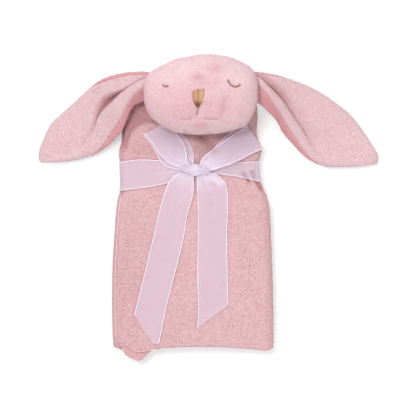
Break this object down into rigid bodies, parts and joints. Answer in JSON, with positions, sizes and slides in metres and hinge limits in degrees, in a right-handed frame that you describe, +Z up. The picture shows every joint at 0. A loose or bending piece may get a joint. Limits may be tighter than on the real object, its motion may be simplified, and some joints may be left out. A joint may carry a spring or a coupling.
{
  "type": "comfort blanket lovey",
  "caption": "Plush rabbit head with floppy ears sewn to a two-ply blanket, folded flat and tied with a sheer ribbon bow; head, ears, bow loops and tails move.",
  "frame": {"origin": "bottom centre of the whole toy lying on its back, on the plane of the table", "axes": "+Z up from the table to the face, +Y from the blanket's hem to the head, +X across from ear to ear"},
  "size_m": [0.4751, 0.4253, 0.0881],
  "materials": {
    "curly_pile": "matte",
    "smooth_plush": "matte",
    "ear_plush": "matte",
    "stuffing": "matte",
    "tan_thread": "satin",
    "pink_thread": "satin",
    "organza": "satin"
  },
  "bodies": {
    "root": {"blanket_face": "curly_pile", "blanket_lining": "smooth_plush", "ribbon_band": "organza", "ribbon_knot": "organza"},
    "head": {"head_front": "smooth_plush", "head_back": "smooth_plush", "head_stuffing": "stuffing", "nose_satin_stitch": "tan_thread", "nose_line_stitch": "tan_thread", "left_eye_stitch": "tan_thread", "right_eye_stitch": "tan_thread", "left_mouth_stitch": "pink_thread", "right_mouth_stitch": "pink_thread"},
    "left_ear": {"left_ear_lining": "ear_plush", "left_ear_backing": "curly_pile"},
    "right_ear": {"right_ear_lining": "ear_plush", "right_ear_backing": "curly_pile"},
    "left_loop": {"left_bow_loop": "organza"},
    "right_loop": {"right_bow_loop": "organza"},
    "left_tail": {"left_ribbon_tail": "organza"},
    "right_tail": {"right_ribbon_tail": "organza"}
  },
  "joints": [
    {"name": "head_lift", "type": "hinge", "parent": "root", "child": "head", "pos_m": [-0.0129, 0.065, 0.026], "axis": [1, 0, 0], "range_deg": [0, 35]},
    {"name": "left_ear_lift", "type": "hinge", "parent": "head", "child": "left_ear", "pos_m": [-0.0935, 0.167, 0.047], "axis": [0, 1, 0], "range_deg": [0, 90]},
    {"name": "right_ear_lift", "type": "hinge", "parent": "head", "child": "right_ear", "pos_m": [0.0677, 0.167, 0.047], "axis": [0, -1, 0], "range_deg": [0, 90]},
    {"name": "left_loop_swing", "type": "hinge", "parent": "root", "child": "left_loop", "pos_m": [-0.0378, 0.055, 0.031], "axis": [0.2121, 0.1911, 0.9584], "range_deg": [0, 25]},
    {"name": "right_loop_swing", "type": "hinge", "parent": "root", "child": "right_loop", "pos_m": [-0.002, 0.052, 0.031], "axis": [0.149, -0.2441, -0.9582], "range_deg": [0, 25]},
    {"name": "left_tail_lift", "type": "hinge", "parent": "root", "child": "left_tail", "pos_m": [-0.036, 0.0432, 0.0325], "axis": [-0.9781, 0.208, 0], "range_deg": [0, 90]},
    {"name": "right_tail_lift", "type": "hinge", "parent": "root", "child": "right_tail", "pos_m": [-0.005, 0.0432, 0.0325], "axis": [-1, 0, 0], "range_deg": [0, 90]}
  ]
}
